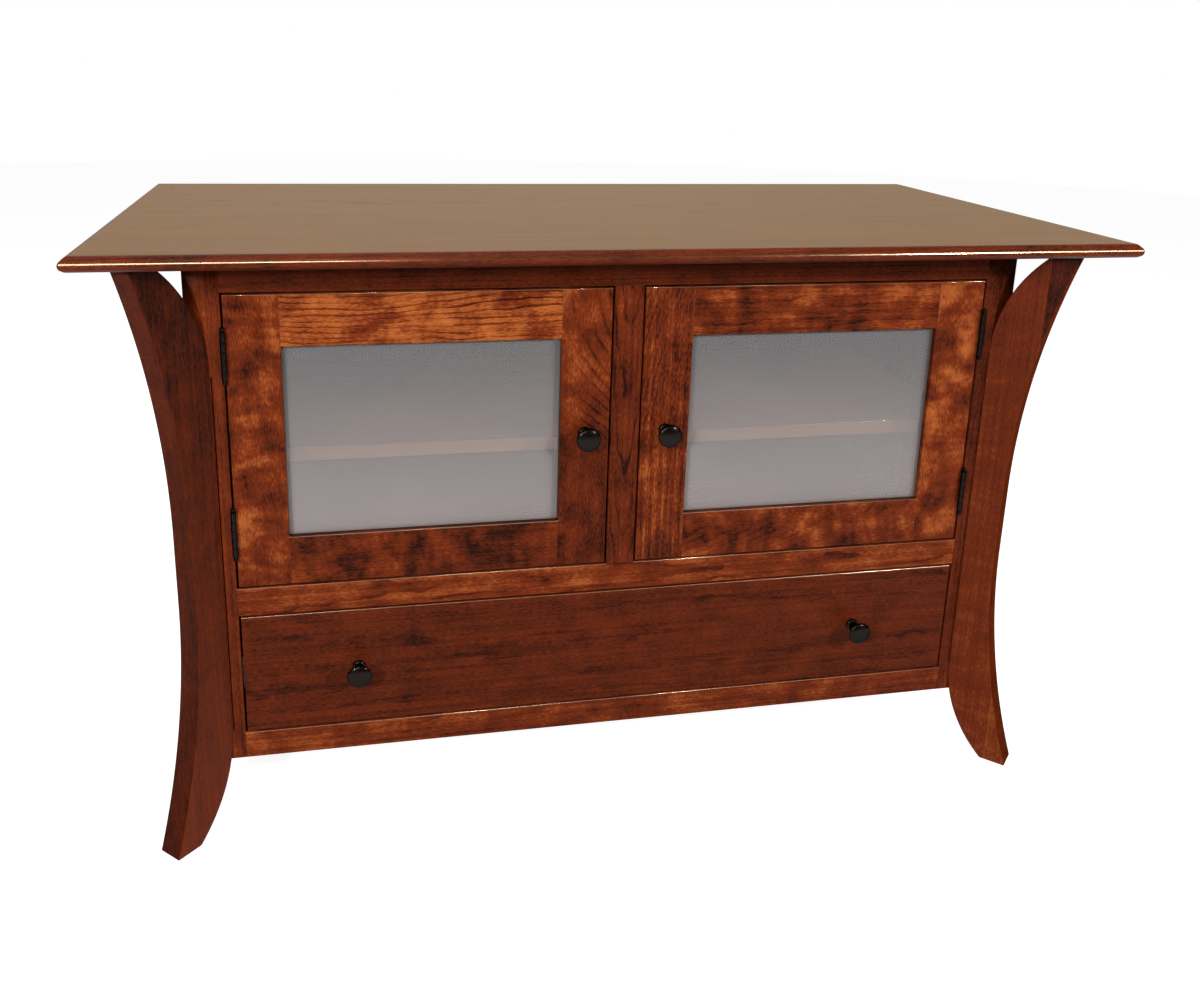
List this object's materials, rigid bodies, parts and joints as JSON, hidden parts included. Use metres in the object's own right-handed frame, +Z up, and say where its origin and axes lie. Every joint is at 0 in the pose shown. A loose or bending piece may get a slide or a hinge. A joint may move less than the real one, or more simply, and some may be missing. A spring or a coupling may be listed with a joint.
{
  "type": "tv stand",
  "caption": "Low stained-wood television stand on splayed corner legs, with an overhanging top, glazed doors, shelves and a wide drawer.",
  "frame": {"origin": "on the floor under the middle of the top", "axes": "+X to the right of someone facing the doors, +Y from the doors to the back, +Z up"},
  "size_m": [1.316, 0.668, 0.8],
  "materials": {
    "cherry_top": "satin lacquer over a dark cherry stain",
    "cherry_leg": "satin lacquer over a dark cherry stain",
    "cherry_case": "satin lacquer over a dark cherry stain",
    "cherry_front": "satin lacquer over figured, stained cherry",
    "cherry_plywood": "stained plywood",
    "maple": "clear lacquer",
    "smoked_glass": "grey tinted, glossy",
    "bronze": "oil-rubbed dark bronze",
    "zinc_steel": "zinc plated",
    "catch_plastic": "moulded, with a magnet inside"
  },
  "bodies": {
    "cabinet": {"top_panel": "cherry_top", "front_left_leg": "cherry_leg", "front_right_leg": "cherry_leg", "rear_left_leg": "cherry_leg", "rear_right_leg": "cherry_leg", "left_side_panel": "cherry_case", "right_side_panel": "cherry_case", "back_panel": "cherry_plywood", "bottom_panel": "cherry_plywood", "bay_floor": "cherry_case", "centre_divider": "cherry_case", "left_frame_stile": "cherry_case", "right_frame_stile": "cherry_case", "frame_top_rail": "cherry_case", "frame_middle_rail": "cherry_case", "frame_bottom_rail": "cherry_case", "frame_mullion": "cherry_case", "top_stretchers": "maple", "left_shelf": "cherry_case", "right_shelf": "cherry_case", "shelf_pins": "zinc_steel", "corner_blocks": "maple", "leg_screws": "zinc_steel", "top_screws": "zinc_steel", "case_screws": "zinc_steel", "slide_spacers": "maple", "slide_case_members": "zinc_steel", "hinge_frame_leaves": "bronze", "hinge_pins": "bronze", "door_catches": "catch_plastic"},
    "left_door": {"left_door_hinge_stile": "cherry_front", "left_door_knob_stile": "cherry_front", "left_door_top_rail": "cherry_front", "left_door_bottom_rail": "cherry_front", "left_door_glass": "smoked_glass", "left_door_glass_stops": "cherry_front", "left_door_knob": "bronze", "left_door_hinge_leaves": "bronze", "left_door_screws": "zinc_steel", "left_door_catch_plate": "zinc_steel"},
    "right_door": {"right_door_hinge_stile": "cherry_front", "right_door_knob_stile": "cherry_front", "right_door_top_rail": "cherry_front", "right_door_bottom_rail": "cherry_front", "right_door_glass": "smoked_glass", "right_door_glass_stops": "cherry_front", "right_door_knob": "bronze", "right_door_hinge_leaves": "bronze", "right_door_screws": "zinc_steel", "right_door_catch_plate": "zinc_steel"},
    "drawer": {"drawer_front": "cherry_front", "drawer_left_side": "maple", "drawer_right_side": "maple", "drawer_box_front": "maple", "drawer_box_back": "maple", "drawer_bottom": "maple", "drawer_knobs": "bronze", "drawer_screws": "zinc_steel", "slide_drawer_members": "zinc_steel"},
    "slide_middles": {"slide_middle_members": "zinc_steel"}
  },
  "joints": [
    {"name": "left_door_hinge", "type": "hinge", "parent": "cabinet", "child": "left_door", "pos_m": [-0.50525, -0.228, 0.5405], "axis": [0, 0, -1], "range_deg": [0, 135]},
    {"name": "right_door_hinge", "type": "hinge", "parent": "cabinet", "child": "right_door", "pos_m": [0.50525, -0.228, 0.5405], "axis": [0, 0, 1], "range_deg": [0, 135]},
    {"name": "drawer_slide", "type": "slide", "parent": "cabinet", "child": "drawer", "axis": [0, -1, 0], "range_m": [0, 0.34]},
    {"name": "slide_middle_slide", "type": "slide", "parent": "cabinet", "child": "slide_middles", "axis": [0, -1, 0], "range_m": [0, 0.17]}
  ],
  "couplings": [
    {"joint": "slide_middle_slide", "follows": "drawer_slide", "ratio": 0.5}
  ]
}
